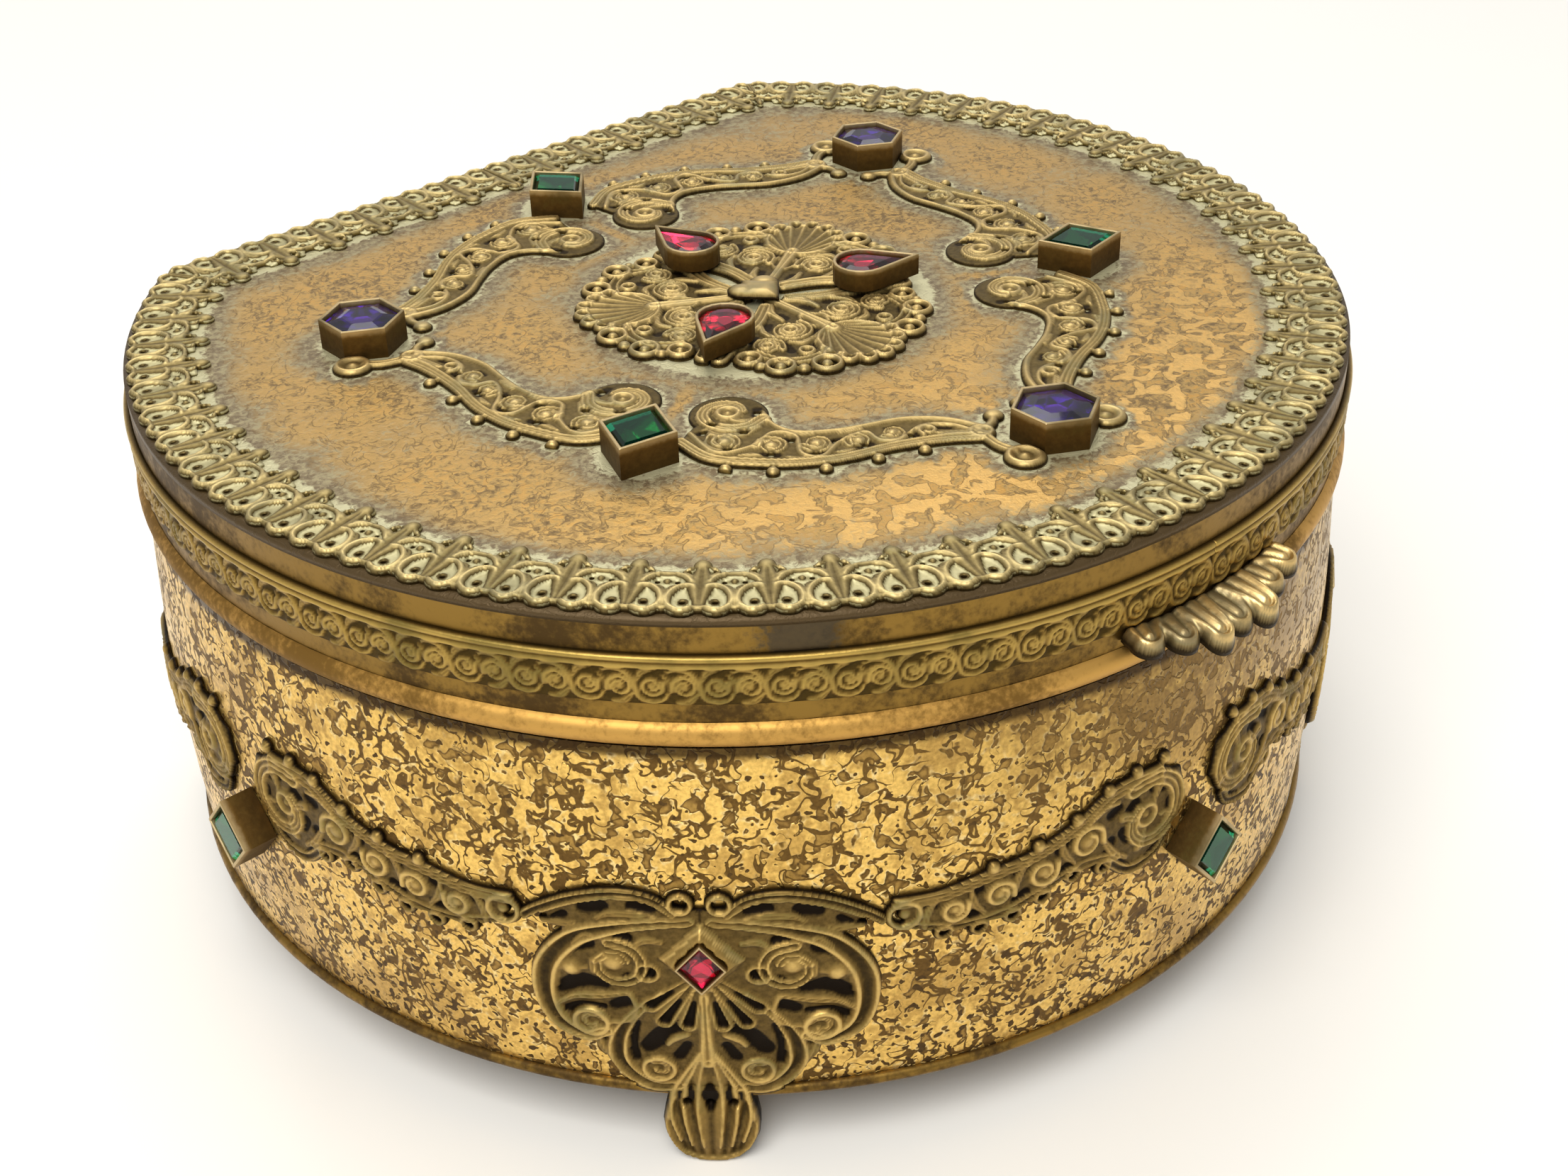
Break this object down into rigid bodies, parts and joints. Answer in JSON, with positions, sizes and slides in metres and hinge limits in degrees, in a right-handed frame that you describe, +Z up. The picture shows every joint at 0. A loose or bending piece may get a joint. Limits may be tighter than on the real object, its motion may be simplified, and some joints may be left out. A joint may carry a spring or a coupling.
{
  "type": "dresser box",
  "caption": "Footed metal jewel box, round with a flat back, with a hinged lid, pierced scrollwork, etched sheet and coloured glass stones in box settings.",
  "frame": {"origin": "on the surface that the feet stand on, under the middle of the bounding box", "axes": "+Z up, -Y towards the thumb piece at the front, +Y towards the hinge on the flat back, +X to the right seen from the front"},
  "size_m": [0.1756, 0.1574, 0.084],
  "materials": {
    "etched_gilt_brass": "etched, with dark tarnish in the recesses",
    "gilt_brass": "old gilding, stamped and pierced",
    "dark_gilt_brass": "bronze-brown sides with a worn bright rim",
    "hinge_brass": "plain drawn wire",
    "violet_glass": "polished, flat table",
    "green_glass": "polished, flat table",
    "red_glass": "polished, flat table",
    "cream_satin": "satin over padding"
  },
  "bodies": {
    "box": {"base_bead": "gilt_brass", "base_pad": "cream_satin", "base_plate": "gilt_brass", "box_hinge_leaf": "gilt_brass", "collar": "gilt_brass", "foot_front_left": "gilt_brass", "foot_front_right": "gilt_brass", "foot_rear_left": "gilt_brass", "foot_rear_right": "gilt_brass", "foot_settings": "dark_gilt_brass", "foot_stone_front_left": "red_glass", "foot_stone_front_right": "red_glass", "foot_stone_rear_left": "red_glass", "foot_stone_rear_right": "red_glass", "hinge_pin": "hinge_brass", "swag_back": "gilt_brass", "swag_front": "gilt_brass", "swag_left": "gilt_brass", "swag_right": "gilt_brass", "wall": "etched_gilt_brass", "wall_lining": "cream_satin", "wall_settings": "dark_gilt_brass", "wall_stone_back": "green_glass", "wall_stone_front": "green_glass", "wall_stone_left": "green_glass", "wall_stone_right": "green_glass"},
    "lid": {"fan_front": "gilt_brass", "fan_rear_left": "gilt_brass", "fan_rear_right": "gilt_brass", "garland_front_left": "gilt_brass", "garland_front_right": "gilt_brass", "garland_rear": "gilt_brass", "green_setting_front_left": "dark_gilt_brass", "green_setting_front_right": "dark_gilt_brass", "green_setting_rear": "dark_gilt_brass", "green_stone_front_left": "green_glass", "green_stone_front_right": "green_glass", "green_stone_rear": "green_glass", "heart_plate": "gilt_brass", "lid_band": "gilt_brass", "lid_bead": "gilt_brass", "lid_border": "gilt_brass", "lid_frieze": "gilt_brass", "lid_hinge_leaf": "gilt_brass", "lid_pad": "cream_satin", "lid_plate": "etched_gilt_brass", "red_setting_front_left": "dark_gilt_brass", "red_setting_front_right": "dark_gilt_brass", "red_setting_rear": "dark_gilt_brass", "red_stone_front_left": "red_glass", "red_stone_front_right": "red_glass", "red_stone_rear": "red_glass", "thumb_piece": "gilt_brass", "violet_setting_front": "dark_gilt_brass", "violet_setting_rear_left": "dark_gilt_brass", "violet_setting_rear_right": "dark_gilt_brass", "violet_stone_front": "violet_glass", "violet_stone_rear_left": "violet_glass", "violet_stone_rear_right": "violet_glass"}
  },
  "joints": [
    {"name": "lid_hinge", "type": "hinge", "parent": "box", "child": "lid", "pos_m": [0, 0.07514, 0.06305], "axis": [-1, 0, 0], "range_deg": [0, 100]}
  ]
}
